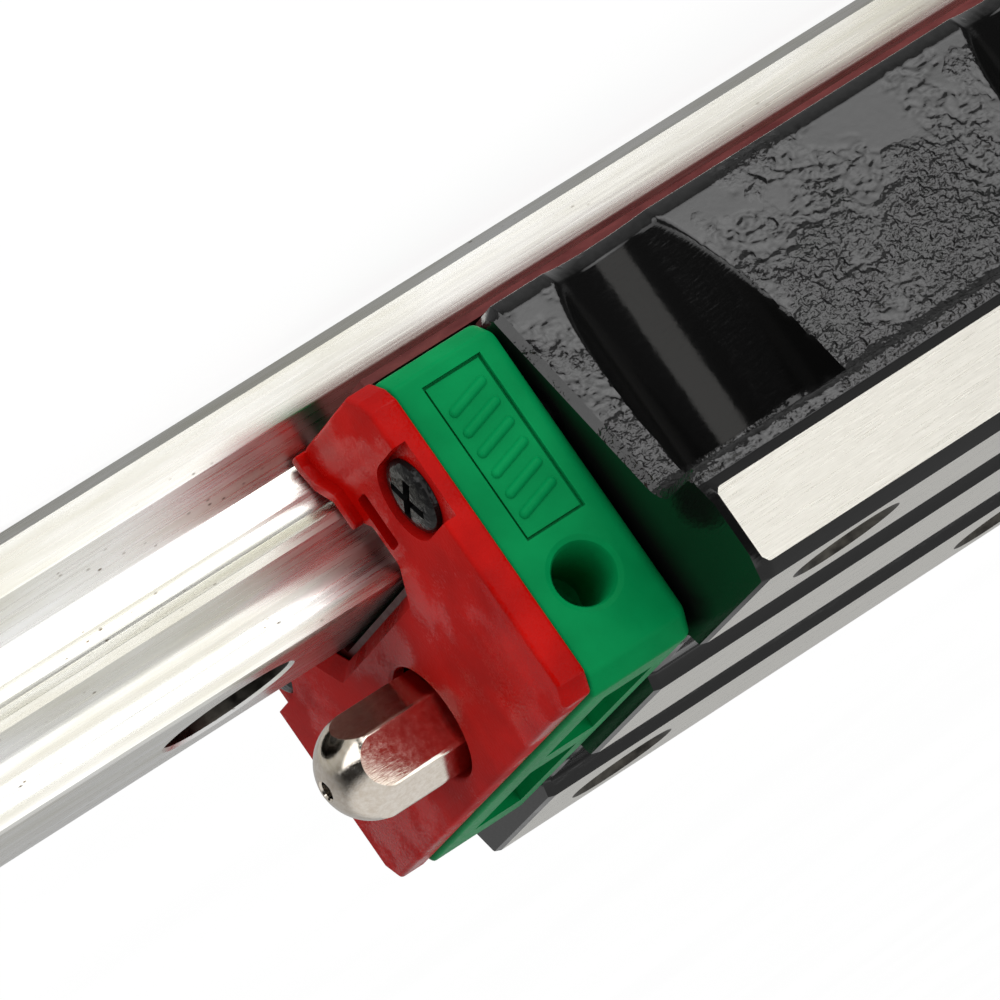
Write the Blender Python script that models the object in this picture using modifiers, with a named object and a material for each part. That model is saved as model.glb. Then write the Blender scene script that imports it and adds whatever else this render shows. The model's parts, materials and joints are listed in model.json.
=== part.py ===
"""A flange-type linear guide carriage on a short length of its rail.

Frame: X along the rail with the grease nipple towards +X, Y across, Z up, and the origin on the
rail's underside at the middle of its length. Blender units are metres. Outlines are written in
millimetres, as (y, z) seen along X, because that is how such a guide is drawn.
"""

import math

import bmesh
import bpy
from mathutils import Matrix, Vector

MM = 0.001
GAP = 0.3  # between pieces that touch on the real guide

# Rail
RAIL_LENGTH = 100.0
RAIL_HALF_WIDTH = 7.5
RAIL_HEIGHT = 12.5
RAIL_HOLE_PITCH = 60.0
RAIL_HOLE_RADIUS = 2.25
COUNTERBORE_RADIUS = 3.75
COUNTERBORE_DEPTH = 5.3
RAIL_GROOVE_RADIUS = 1.65

# Carriage: every x below is measured from the carriage's own middle
CARRIAGE_X = -6.7
BLOCK_HALF_LENGTH = 19.9
BLOCK_BOTTOM = 4.5
BLOCK_TOP = 24.0
BLOCK_HALF_WIDTH = 26.0
RELIEF_DEPTH = 0.8  # between the ground lands on the table face
TAPPED_RADIUS = 1.45  # for the cap screws
CAP_HALF_WIDTH = 16.7
CAP_LOW = 4.7
CAP_HIGH = 23.35
CAP_OUTER = 26.4
SEAL_INNER = CAP_OUTER + GAP
SEAL_FACE = 28.4
BOLT_X = 13.0
BOLT_Y = 20.5
BOLT_RADIUS = 2.5
BOLT_MOUTH_RADIUS = 3.2
SCOOP_RADIUS = 5.0
SCOOP_TOP = 17.0
SCREW_Y = 14.4
SCREW_Z = 10.2
SCREW_TIP = 15.6
SCREW_HEAD_BOTTOM = 27.6
POCKET_RADIUS = 2.3
NIPPLE_Z = 18.7
NIPPLE_TIP = 35.0
NIPPLE_CORNER = 2.9
NIPPLE_BORE = 0.8
CHECK_BALL_RADIUS = 0.6
CHECK_BALL_X = NIPPLE_TIP - 0.95
SIDE_HOLE_X = 23.7
SIDE_HOLE_Z = 18.1
SIDE_HOLE_RADIUS = 1.65
SIDE_HOLE_DEPTH = 6.5
PANEL_X = (21.6, 25.2)
PANEL_Z = (6.2, 15.3)
PANEL_DEPTH = 0.25

# Balls: load rows beside the rail, return rows in the block's bores
BALL_RADIUS = 1.5875
BALL_NECK = 0.35
RACE_RADIUS = 1.75
BORE_RADIUS = 1.8
UPPER_LOAD = (7.95, 10.4)
LOWER_LOAD = (7.95, 6.4)
UPPER_RETURN = (12.3, 13.6)
LOWER_RETURN = (12.3, 6.8)
BALL_PITCH = 3.3

ENDS = {"front": 1, "rear": -1}
SIDES = {"left": -1, "right": 1}


def clear_scene():
    for thing in list(bpy.data.objects):
        bpy.data.objects.remove(thing, do_unlink=True)


def new_collection(name):
    collection = bpy.data.collections.new(name)
    bpy.context.scene.collection.children.link(collection)
    return collection


clear_scene()
PARTS = new_collection("linear_guide_carriage")
CUTTERS = new_collection("cutters")
CUTTERS.hide_render = True


def new_material(name, colour, roughness, metallic=0.0):
    made = bpy.data.materials.new(name)
    made.use_nodes = True
    shader = made.node_tree.nodes["Principled BSDF"]
    shader.inputs["Base Color"].default_value = (*colour, 1.0)
    shader.inputs["Roughness"].default_value = roughness
    shader.inputs["Metallic"].default_value = metallic
    return made


RAIL_STEEL = new_material("rail_steel", (0.72, 0.71, 0.67), 0.25, 1.0)
BLACK_PAINT = new_material("black_paint", (0.02, 0.02, 0.022), 0.22)
GREEN_PLASTIC = new_material("green_plastic", (0.01, 0.33, 0.1), 0.35)
RED_SEAL = new_material("red_seal", (0.6, 0.01, 0.008), 0.3)
RUBBER = new_material("seal_rubber", (0.03, 0.03, 0.03), 0.7)
NICKEL = new_material("nickel", (0.66, 0.6, 0.52), 0.18, 1.0)
SCREW_BLACK = new_material("screw_black", (0.02, 0.02, 0.02), 0.3, 0.6)
BALL_STEEL = new_material("ball_steel", (0.75, 0.75, 0.75), 0.1, 1.0)
CLEAR_PLASTIC = new_material("retainer_plastic", (0.5, 0.48, 0.42), 0.4)
SPRING_STEEL = new_material("spring_steel", (0.5, 0.5, 0.5), 0.3, 1.0)


# Shape tools


def add_object(name, mesh, material=None):
    """A part when it has a material, and a hidden cutter when it doesn't."""
    made = bpy.data.objects.new(name, mesh)
    if material:
        made.data.materials.clear()
        made.data.materials.append(material)
        PARTS.objects.link(made)
    else:
        made.hide_render = True
        made.display_type = "WIRE"
        CUTTERS.objects.link(made)
    return made


def arc(centre, radius, start, end, steps):
    """Points on an arc, from one angle to another in degrees."""
    points = []
    for step in range(steps + 1):
        angle = math.radians(start + (end - start) * step / steps)
        y = centre[0] + radius * math.cos(angle)
        points.append((y, centre[1] + radius * math.sin(angle)))
    return points


def circle(centre, radius, steps=20):
    return arc(centre, radius, 0, 360, steps)[:-1]


def mirrored(half):
    """A whole outline from its +Y half, which starts and ends on the middle plane."""
    return half + [(-y, z) for y, z in reversed(half) if abs(y) > 1e-9]


def flipped(outline, side):
    return [(side * y, z) for y, z in outline]


def prism_mesh(name, outlines, x_from, x_to):
    """A flat outline in the YZ plane, drawn out along X. Outlines inside the first are holes."""
    curve = bpy.data.curves.new(name, "CURVE")
    curve.dimensions = "2D"
    curve.fill_mode = "BOTH"
    curve.extrude = abs(x_to - x_from) / 2 * MM
    for outline in outlines:
        spline = curve.splines.new("POLY")
        spline.points.add(len(outline) - 1)
        spline.use_cyclic_u = True
        for point, (y, z) in zip(spline.points, outline):
            point.co = (y * MM, z * MM, 0, 1)
    drawn = bpy.data.objects.new(name, curve)
    PARTS.objects.link(drawn)
    graph = bpy.context.evaluated_depsgraph_get()
    mesh = bpy.data.meshes.new_from_object(drawn.evaluated_get(graph))
    bpy.data.objects.remove(drawn)
    bpy.data.curves.remove(curve)
    turn = Matrix(((0, 0, 1, 0), (1, 0, 0, 0), (0, 1, 0, 0), (0, 0, 0, 1)))
    mesh.transform(Matrix.Translation(((x_from + x_to) / 2 * MM, 0, 0)) @ turn)
    weld(mesh)
    return mesh


def weld(mesh):
    shell = bmesh.new()
    shell.from_mesh(mesh)
    bmesh.ops.remove_doubles(shell, verts=shell.verts, dist=1e-6)
    bmesh.ops.dissolve_limit(
        shell, angle_limit=math.radians(0.5), verts=shell.verts, edges=shell.edges
    )
    bmesh.ops.recalc_face_normals(shell, faces=shell.faces)
    shell.to_mesh(mesh)
    shell.free()


def prism(name, outlines, x_from, x_to, material=None):
    return add_object(name, prism_mesh(name, outlines, x_from, x_to), material)


def box(name, low, high, material=None):
    shell = bmesh.new()
    bmesh.ops.create_cube(shell, size=1)
    size = [(b - a) * MM for a, b in zip(low, high)]
    middle = [(a + b) / 2 * MM for a, b in zip(low, high)]
    bmesh.ops.transform(
        shell,
        matrix=Matrix.Translation(middle) @ Matrix.Diagonal((*size, 1)),
        verts=shell.verts,
    )
    mesh = bpy.data.meshes.new(name)
    shell.to_mesh(mesh)
    shell.free()
    return add_object(name, mesh, material)


def turned(name, profile, place, axis, material=None, steps=20):
    """A profile of (radius, height), listed from the top down, turned about an axis."""
    mesh = bpy.data.meshes.new(name)
    points = [(r * MM, 0, h * MM) for r, h in profile]
    mesh.from_pydata(points, [(i, i + 1) for i in range(len(points) - 1)], [])
    made = add_object(name, mesh, material)
    screw = made.modifiers.new("turn", "SCREW")
    screw.steps = steps
    screw.render_steps = steps
    screw.use_merge_vertices = True
    screw.merge_threshold = 1e-6
    graph = bpy.context.evaluated_depsgraph_get()
    solid = bpy.data.meshes.new_from_object(made.evaluated_get(graph))
    made.modifiers.clear()
    made.data = solid
    turn = Vector((0, 0, 1)).rotation_difference(Vector(axis)).to_matrix().to_4x4()
    solid.transform(turn)
    made.location = [value * MM for value in place]
    if material:
        solid.materials.clear()
        solid.materials.append(material)
    return made


def rod(name, radius, start, length, axis, material=None, steps=20):
    profile = [(0, length), (radius, length), (radius, 0), (0, 0)]
    return turned(name, profile, start, axis, material, steps)


def boolean(target, cutter, operation):
    step = target.modifiers.new(cutter.name, "BOOLEAN")
    step.operation = operation
    step.solver = "EXACT"
    step.object = cutter


def cut(target, *cutters):
    for cutter in cutters:
        boolean(target, cutter, "DIFFERENCE")


def join(target, *pieces):
    for piece in pieces:
        boolean(target, piece, "UNION")


def smooth(thing, degrees=35):
    thing.data.shade_smooth()
    thing.data.set_sharp_from_angle(angle=math.radians(degrees))


# Rail


def rail_half_outline():
    """From the middle of the underside, up the +Y side to the middle of the top."""
    upper = arc(UPPER_LOAD, RAIL_GROOVE_RADIUS, 232, 159, 5)
    lower = arc(LOWER_LOAD, RAIL_GROOVE_RADIUS, 184, 145, 4)
    side = [(6.9, 0), (RAIL_HALF_WIDTH, 0.6), (RAIL_HALF_WIDTH, 2.8), (5.8, 4.75)]
    ridge = [(RAIL_HALF_WIDTH, 7.9), (RAIL_HALF_WIDTH, 8.45)]
    head = [(6.75, 11.6), (6.75, 12.1), (6.35, RAIL_HEIGHT)]
    return [(0, 0)] + side + lower + ridge + upper + head + [(0, RAIL_HEIGHT)]


def make_rail():
    half = RAIL_LENGTH / 2
    rail = prism("rail", [mirrored(rail_half_outline())], -half, half, RAIL_STEEL)
    step = RAIL_HEIGHT - COUNTERBORE_DEPTH
    profile = [
        (0, RAIL_HEIGHT + 1),
        (COUNTERBORE_RADIUS + 0.3, RAIL_HEIGHT + 1),
        (COUNTERBORE_RADIUS + 0.3, RAIL_HEIGHT),
        (COUNTERBORE_RADIUS, RAIL_HEIGHT - 0.3),
        (COUNTERBORE_RADIUS, step),
        (RAIL_HOLE_RADIUS, step),
        (RAIL_HOLE_RADIUS, -1),
        (0, -1),
    ]
    for number, x in enumerate((-RAIL_HOLE_PITCH / 2, RAIL_HOLE_PITCH / 2), 1):
        cut(rail, turned(f"rail_bolt_{number}", profile, (x, 0, 0), (0, 0, 1)))
    return rail


# Block


def block_outline():
    """The block's end view. The inner edge follows the ball tracks and the retainer's seat."""
    outside = [
        (8.75, BLOCK_BOTTOM),
        (16.0, BLOCK_BOTTOM),
        (16.5, 5.1),
        (20.2, 16.0),
        (20.7, 16.8),
        (22.0, 17.3),
        (24.8, 17.4),
        (25.4, 18.0),
        (BLOCK_HALF_WIDTH, 19.0),
        (BLOCK_HALF_WIDTH, 23.4),
        (25.4, BLOCK_TOP),
    ]
    floor = BLOCK_TOP - RELIEF_DEPTH
    relief = [(14.2, BLOCK_TOP), (13.6, floor), (6.6, floor), (6.0, BLOCK_TOP)]
    lower = arc(LOWER_LOAD, RACE_RADIUS, -62, 0, 4)
    seat = [(9.7, 7.65), (10.2, 7.65), (10.2, 9.15), (9.7, 9.15)]
    upper = arc(UPPER_LOAD, RACE_RADIUS, 0, 100, 6)
    ceiling = [(7.75, 12.9), (7.2, 13.65), (0, 13.65)]
    inside = list(reversed(lower + seat + upper + ceiling))
    half = inside + outside + relief + [(0, BLOCK_TOP)]
    return mirrored(half)


def block_cutters():
    top = BLOCK_TOP
    hole = [(0, top + 1), (BOLT_MOUTH_RADIUS, top + 1), (BOLT_MOUTH_RADIUS, top)]
    hole += [(BOLT_RADIUS, top - 0.7), (BOLT_RADIUS, 15), (0, 15)]
    for x in (-BOLT_X, BOLT_X):
        for y in (-BOLT_Y, BOLT_Y):
            tag = f"{'f' if x > 0 else 'r'}{'r' if y > 0 else 'l'}"
            yield turned(f"bolt_{tag}", hole, (x, y, 0), (0, 0, 1))
            yield rod(f"scoop_{tag}", SCOOP_RADIUS, (x, y, 3), SCOOP_TOP - 3, (0, 0, 1), steps=32)
            start = (math.copysign(SCREW_TIP - 0.2, x), math.copysign(SCREW_Y, y), SCREW_Z)
            yield rod(f"tapped_{tag}", TAPPED_RADIUS, start, 6, (math.copysign(1, x), 0, 0), steps=16)


def make_block():
    bores = []
    for side in SIDES.values():
        for y, z in (UPPER_RETURN, LOWER_RETURN):
            bores.append(circle((side * y, z), BORE_RADIUS, 16))
    outlines = [block_outline()] + bores
    block = prism("block", outlines, -BLOCK_HALF_LENGTH, BLOCK_HALF_LENGTH, BLACK_PAINT)
    cut(block, *block_cutters())
    return block


# End caps


def cap_outline():
    side = CAP_HALF_WIDTH
    outside = [(9.0, CAP_LOW), (side - 0.9, CAP_LOW), (side, CAP_LOW + 0.7)]
    outside += [(side, CAP_HIGH - 0.8), (side - 0.8, CAP_HIGH)]
    inside = [(0, 13.2), (7.6, 13.2), (8.4, 12.4), (8.4, 8.2), (9.0, 7.4)]
    half = inside + outside + [(0, CAP_HIGH)]
    return mirrored(half)


def capsule(start, end, radius):
    """The outline round two circles of one radius."""
    along = math.degrees(math.atan2(end[1] - start[1], end[0] - start[0]))
    outline = arc(end, radius, along - 90, along + 90, 8)
    return outline + arc(start, radius, along + 90, along + 270, 8)


def span(start, end, outward):
    """Two x positions on one end of the carriage, in rising order."""
    return sorted((start * outward, end * outward))


def make_end_cap(end, outward):
    x_range = span(BLOCK_HALF_LENGTH + GAP, CAP_OUTER, outward)
    cap = prism(f"end_cap_{end}", [cap_outline()], *x_range, GREEN_PLASTIC)
    for side_name, side in SIDES.items():
        tag = f"{end}_{side_name}"
        for row, load, back in (("up", UPPER_LOAD, UPPER_RETURN), ("low", LOWER_LOAD, LOWER_RETURN)):
            pocket = capsule(load, back, BORE_RADIUS)
            if side < 0:
                pocket = flipped(pocket, side)
            cut(cap, prism(f"turn_{row}_{tag}", [pocket], *span(19.0, 24.6, outward)))
        low, high = sorted((side * 9.5, side * 10.75))
        x_low, x_high = span(19.0, 21.4, outward)
        cut(cap, box(f"guide_slot_{tag}", (x_low, low, 5.6), (x_high, high, 13.0)))
        start = (19.0 * outward, side * SCREW_Y, SCREW_Z)
        cut(cap, rod(f"screw_way_{tag}", 1.5, start, 9, (outward, 0, 0), steps=16))
        start = (SIDE_HOLE_X * outward, side * (CAP_HALF_WIDTH + 0.6), SIDE_HOLE_Z)
        cut(cap, rod(f"side_hole_{tag}", SIDE_HOLE_RADIUS, start, SIDE_HOLE_DEPTH + 0.6, (0, -side, 0)))
        x_low, x_high = span(*PANEL_X, outward)
        low, high = sorted((side * (CAP_HALF_WIDTH - PANEL_DEPTH), side * (CAP_HALF_WIDTH + 1)))
        cut(cap, box(f"panel_{tag}", (x_low, low, PANEL_Z[0]), (x_high, high, PANEL_Z[1])))
        low, high = sorted((side * 1.5, side * 12.5))
        cut(cap, box(f"top_pocket_{tag}", (x_low + 0.4, low, 22.6), (x_high - 0.4, high, 24)))
    start = (21.0 * outward, 0, NIPPLE_Z)
    cut(cap, rod(f"grease_way_{end}", 2.4, start, 7, (outward, 0, 0)))
    return cap


def make_return_guide(end, outward, side_name, side):
    """The inner side of both ball turns: a bar with a cross piece in the wider, upper turn."""
    name = f"return_guide_{end}_{side_name}"
    bar = [(9.86, 8.5), (10.4, 8.5), (10.4, 12.2), (9.86, 12.2)]
    guide = prism(name, [flipped(bar, side)], *span(20.1, 21.0, outward), CLEAR_PLASTIC)
    tongue = [(9.9, 5.6), (10.36, 5.6), (10.36, 9.0), (9.9, 9.0)]
    join(guide, prism(f"{name}_tongue", [flipped(tongue, side)], *span(20.08, 20.36, outward)))
    middle = [(a + b) / 2 for a, b in zip(UPPER_LOAD, UPPER_RETURN)]
    along = math.atan2(UPPER_RETURN[1] - UPPER_LOAD[1], UPPER_RETURN[0] - UPPER_LOAD[0])
    cross = []
    for u, v in ((-0.6, -1.4), (0.6, -1.4), (0.6, 1.4), (-0.6, 1.4)):
        y = middle[0] + u * math.cos(along) - v * math.sin(along)
        cross.append((y, middle[1] + u * math.sin(along) + v * math.cos(along)))
    join(guide, prism(f"{name}_cross", [flipped(cross, side)], *span(20.15, 20.9, outward)))
    return guide


# End seals


def seal_outline():
    """The red plate's front view. Its opening stands off the rail's head and follows its waist."""
    outside = [(15.6, 4.5), (16.4, 5.3), (17.1, 6.3), (17.1, 22.2), (16.2, 23.1)]
    inside = [(0, 13.3), (6.4, 13.3), (8.15, 11.75), (8.15, 9.9), (7.8, 9.3), (7.8, 7.6)]
    foot = [(6.6, 6.5), (6.2, 5.2), (7.2, 4.5)]
    half = inside + foot + outside + [(0, 23.1)]
    return mirrored(half)


def make_end_seal(end, outward):
    seal = prism(f"end_seal_{end}", [seal_outline()], *span(SEAL_INNER, SEAL_FACE, outward), RED_SEAL)
    lip_room = [(12.6, 3.5), (12.6, 16.6), (-12.6, 16.6), (-12.6, 3.5)]
    cut(seal, prism(f"lip_room_{end}", [lip_room], *span(26.0, 27.6, outward)))
    for side_name, side in SIDES.items():
        tag = f"{end}_{side_name}"
        pocket = arc((SCREW_Y, SCREW_Z), POCKET_RADIUS, 90, 270, 10)
        pocket += [(18, SCREW_Z - POCKET_RADIUS), (18, SCREW_Z + POCKET_RADIUS)]
        if side < 0:
            pocket = flipped(pocket, side)
        cut(seal, prism(f"screw_pocket_{tag}", [pocket], *span(27.5, 29.0, outward)))
        start = (26.0 * outward, side * SCREW_Y, SCREW_Z)
        cut(seal, rod(f"screw_hole_{tag}", 1.5, start, 3, (outward, 0, 0), steps=16))
        low, high = sorted((side * 9.3, side * 10.6))
        x_low, x_high = span(27.9, 29.0, outward)
        cut(seal, box(f"slot_{tag}", (x_low, low, 8.3), (x_high, high, 11.4)))
    start = (26.0 * outward, 0, NIPPLE_Z)
    cut(seal, rod(f"nipple_window_{end}", 3.25, start, 4, (outward, 0, 0), steps=24))
    return seal


def make_seal_lip(end, outward):
    """The rubber that wipes the rail, held behind the plate."""
    profile = [(y + 0.35, z) for y, z in rail_half_outline() if 5.0 < z < 12.2 and y > 0]
    bottom = [(6.15, 4.9)]
    top = [(6.7, 12.9), (0, 12.9)]
    inside = list(reversed(bottom + profile + top))
    half = inside + [(12.2, 4.9), (12.2, 15.0), (0, 15.0)]
    return prism(f"seal_lip_{end}", [mirrored(half)], *span(26.7, 27.3, outward), RUBBER)


def make_cap_screw(end, outward, side_name, side):
    shank = SCREW_HEAD_BOTTOM - SCREW_TIP
    length = 28.25 - SCREW_TIP
    profile = [
        (0, length),
        (1.5, length),
        (2.1, length - 0.25),
        (2.1, shank),
        (1.2, shank),
        (1.2, 0.5),
        (0.8, 0),
        (0, 0),
    ]
    name = f"cap_screw_{end}_{side_name}"
    place = (SCREW_TIP * outward, side * SCREW_Y, SCREW_Z)
    screw = turned(name, profile, place, (outward, 0, 0), SCREW_BLACK, steps=16)
    x_low, x_high = span(27.85, 29.0, outward)
    centre = side * SCREW_Y
    for tag, wide, tall in (("a", 1.1, 0.25), ("b", 0.25, 1.1)):
        low = (x_low, centre - wide, SCREW_Z - tall)
        high = (x_high, centre + wide, SCREW_Z + tall)
        cut(screw, box(f"{name}_recess_{tag}", low, high))
    smooth(screw)
    return screw


def make_bottom_seal(side_name, side):
    outline = [(6.75, 3.95), (8.6, 3.75), (12.4, 3.75), (12.4, 4.2), (8.8, 4.2), (7.0, 4.45)]
    reach = BLOCK_HALF_LENGTH + 6.0
    return prism(f"bottom_seal_{side_name}", [flipped(outline, side)], -reach, reach, RED_SEAL)


# Balls and what guides them


def track(load, back, side):
    """Points, tangents and distances along one circuit, as functions of the distance along it."""
    across = Vector((0, side * (back[0] - load[0]), back[1] - load[1]))
    turn_radius = across.length / 2
    across.normalize()
    along = Vector((1, 0, 0))
    middle = Vector((0, side * (load[0] + back[0]) / 2, (load[1] + back[1]) / 2))
    straight = 2 * BLOCK_HALF_LENGTH
    half_turn = math.pi * turn_radius
    total = 2 * (straight + half_turn)

    def at(distance):
        distance = distance % total
        if distance < straight:
            place = along * (distance - straight / 2) - across * turn_radius
            return middle + place, along
        distance -= straight
        if distance < half_turn:
            angle = distance / turn_radius - math.pi / 2
            centre = along * (straight / 2)
            radial = along * math.cos(angle) + across * math.sin(angle)
            tangent = across * math.cos(angle) - along * math.sin(angle)
            return middle + centre + radial * turn_radius, tangent
        distance -= half_turn
        if distance < straight:
            place = along * (straight / 2 - distance) + across * turn_radius
            return middle + place, -along
        distance -= straight
        angle = distance / turn_radius + math.pi / 2
        centre = along * (-straight / 2)
        radial = along * math.cos(angle) + across * math.sin(angle)
        tangent = across * math.cos(angle) - along * math.sin(angle)
        return middle + centre + radial * turn_radius, tangent

    return at, total, along.cross(across)


def make_ball_circuit(row, side_name, side, load, back):
    """One circuit of balls, joined by thin necks so that it is one body."""
    at, total, binormal = track(load, back, side)
    count = int(total / BALL_PITCH)
    pitch = total / count
    facets = 8
    half_width = BALL_RADIUS * math.sin(math.radians(30))
    widest = BALL_RADIUS * math.cos(math.radians(30))
    stations = ((-0.5 * pitch, BALL_NECK), (-half_width, widest), (half_width, widest))
    shell = bmesh.new()
    rings = []
    for ball in range(count):
        middle = ball * pitch
        for offset, radius in stations:
            point, tangent = at(middle + offset)
            normal = binormal.cross(tangent)
            ring = []
            for step in range(facets):
                angle = 2 * math.pi * step / facets
                radial = normal * math.cos(angle) + binormal * math.sin(angle)
                ring.append(shell.verts.new((point + radial * radius) * MM))
            rings.append(ring)
    for here, there in zip(rings, rings[1:] + rings[:1]):
        for step in range(facets):
            after = (step + 1) % facets
            shell.faces.new((here[step], here[after], there[after], there[step]))
    bmesh.ops.recalc_face_normals(shell, faces=shell.faces)
    mesh = bpy.data.meshes.new(f"balls_{row}_{side_name}")
    shell.to_mesh(mesh)
    shell.free()
    return add_object(f"balls_{row}_{side_name}", mesh, BALL_STEEL)


def make_top_retainer():
    half = [(0, 12.85), (6.6, 12.85), (7.0, 12.35), (7.35, 12.4), (6.95, 13.3), (0, 13.3)]
    reach = BLOCK_HALF_LENGTH - GAP
    return prism("ball_retainer_top", [mirrored(half)], -reach, reach, CLEAR_PLASTIC)


def make_side_retainer(side_name, side):
    outline = [(7.85, 8.4), (8.9, 8.12), (9.4, 7.95), (9.95, 7.95), (9.95, 8.85), (9.4, 8.85), (8.9, 8.68)]
    reach = BLOCK_HALF_LENGTH - GAP
    name = f"ball_retainer_{side_name}"
    return prism(name, [flipped(outline, side)], -reach, reach, CLEAR_PLASTIC)


# Grease nipple


def make_nipple():
    """A hexagon whose corners run out into a dome, a thread below it and a bore for the ball."""
    thread_start, hex_start, thread_radius = 22.0, 26.75, 2.0
    dome = []
    for degrees in (20, 40, 60, 78, 90):
        angle = math.radians(degrees)
        drop = NIPPLE_CORNER * (1 - math.cos(angle))
        dome.append((NIPPLE_CORNER * math.sin(angle), NIPPLE_TIP - drop))
    mouth = [(0.55, NIPPLE_TIP), (NIPPLE_BORE, NIPPLE_TIP)]
    thread = [(thread_radius, hex_start - 0.05), (thread_radius, thread_start + 0.4)]
    thread += [(thread_radius - 0.3, thread_start), (NIPPLE_BORE, thread_start)]
    bore = [(NIPPLE_BORE, NIPPLE_TIP - 1.0), (0.55, NIPPLE_TIP)]
    profile = mouth + dome + [(NIPPLE_CORNER, hex_start)] + thread + bore
    nipple = turned("grease_nipple", profile, (0, 0, NIPPLE_Z), (1, 0, 0), NICKEL, steps=24)
    hexagon = arc((0, NIPPLE_Z), NIPPLE_CORNER, 20, 320, 5)
    flats = prism("nipple_flats", [hexagon], thread_start - 1, NIPPLE_TIP + 1)
    boolean(nipple, flats, "INTERSECT")
    smooth(nipple, 25)
    return nipple


def make_check_ball():
    shell = bmesh.new()
    bmesh.ops.create_icosphere(shell, subdivisions=2, radius=CHECK_BALL_RADIUS * MM)
    mesh = bpy.data.meshes.new("nipple_check_ball")
    shell.to_mesh(mesh)
    shell.free()
    ball = add_object("nipple_check_ball", mesh, BALL_STEEL)
    ball.location = (CHECK_BALL_X * MM, 0, NIPPLE_Z * MM)
    smooth(ball, 180)
    return ball


def make_nipple_spring():
    radius, wire, turns, start, end = 0.5, 0.13, 7, 24.0, CHECK_BALL_X - 1.25
    steps_per_turn = 8
    curve = bpy.data.curves.new("nipple_spring", "CURVE")
    curve.dimensions = "3D"
    curve.bevel_depth = wire * MM
    curve.bevel_resolution = 1
    curve.use_fill_caps = True
    spline = curve.splines.new("POLY")
    count = turns * steps_per_turn
    spline.points.add(count)
    for step, point in enumerate(spline.points):
        angle = 2 * math.pi * step / steps_per_turn
        x = start + (end - start) * step / count
        y = radius * math.cos(angle)
        z = NIPPLE_Z + radius * math.sin(angle)
        point.co = (x * MM, y * MM, z * MM, 1)
    spring = bpy.data.objects.new("nipple_spring", curve)
    curve.materials.append(SPRING_STEEL)
    PARTS.objects.link(spring)
    return spring


def make_rear_plug():
    profile = [(0, 4.2), (2.0, 4.2), (2.0, 0.4), (1.7, 0), (0, 0)]
    place = (-22.2, 0, NIPPLE_Z)
    plug = turned("rear_grease_plug", profile, place, (-1, 0, 0), SCREW_BLACK, steps=16)
    socket = prism("plug_socket", [arc((0, NIPPLE_Z), 1.15, 0, 300, 5)], -27, -24.6)
    cut(plug, socket)
    return plug


# Assembly


def make_carriage():
    parts = [make_block(), make_top_retainer()]
    for end, outward in ENDS.items():
        parts += [make_end_cap(end, outward), make_end_seal(end, outward)]
        parts.append(make_seal_lip(end, outward))
        for side_name, side in SIDES.items():
            parts.append(make_cap_screw(end, outward, side_name, side))
            parts.append(make_return_guide(end, outward, side_name, side))
    for side_name, side in SIDES.items():
        parts += [make_bottom_seal(side_name, side), make_side_retainer(side_name, side)]
        parts.append(make_ball_circuit("upper", side_name, side, UPPER_LOAD, UPPER_RETURN))
        parts.append(make_ball_circuit("lower", side_name, side, LOWER_LOAD, LOWER_RETURN))
    return parts + [make_nipple(), make_check_ball(), make_nipple_spring(), make_rear_plug()]


def main():
    make_rail()
    carriage = bpy.data.objects.new("carriage", None)
    PARTS.objects.link(carriage)
    parts = make_carriage()
    cutters = [cutter for cutter in CUTTERS.objects if "rail" not in cutter.name]
    for thing in parts + cutters:
        thing.parent = carriage
    carriage.location.x = CARRIAGE_X * MM


main()
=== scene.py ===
"""The looks of a flange-type linear guide carriage on a short length of its rail.

Sizes are in millimetres. Places on the carriage are written from its own middle, which the packed
block gives, and places across and above the rail are the frame's own y and z.
"""

import json
import math

import bmesh
import bpy
from mathutils import Matrix, Vector, noise


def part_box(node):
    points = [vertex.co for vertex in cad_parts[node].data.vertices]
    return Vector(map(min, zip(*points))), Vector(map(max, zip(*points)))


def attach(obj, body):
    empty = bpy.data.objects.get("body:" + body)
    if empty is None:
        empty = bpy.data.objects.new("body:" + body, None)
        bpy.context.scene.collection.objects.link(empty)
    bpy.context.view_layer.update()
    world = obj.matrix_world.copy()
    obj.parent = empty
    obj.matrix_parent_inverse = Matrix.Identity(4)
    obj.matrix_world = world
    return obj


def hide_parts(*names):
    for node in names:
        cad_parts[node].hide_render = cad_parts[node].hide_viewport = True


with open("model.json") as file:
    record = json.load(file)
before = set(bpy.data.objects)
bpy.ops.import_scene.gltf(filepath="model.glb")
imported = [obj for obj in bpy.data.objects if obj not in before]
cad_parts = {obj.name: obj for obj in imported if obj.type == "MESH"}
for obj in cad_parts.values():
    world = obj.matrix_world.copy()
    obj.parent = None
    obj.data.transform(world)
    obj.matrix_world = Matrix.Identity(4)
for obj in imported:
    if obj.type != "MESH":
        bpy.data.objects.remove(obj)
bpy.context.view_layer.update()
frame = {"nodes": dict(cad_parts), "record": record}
noise.seed_set(1)  # or the noise vectors that bend the forged grain differ in every run

MM = 0.001
X, Y, Z = range(3)


def low_side(node, axis):
    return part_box(node)[0][axis] / MM


def high_side(node, axis):
    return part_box(node)[1][axis] / MM


def middle_of(node, axis):
    low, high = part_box(node)
    return (low[axis] + high[axis]) / 2 / MM


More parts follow.
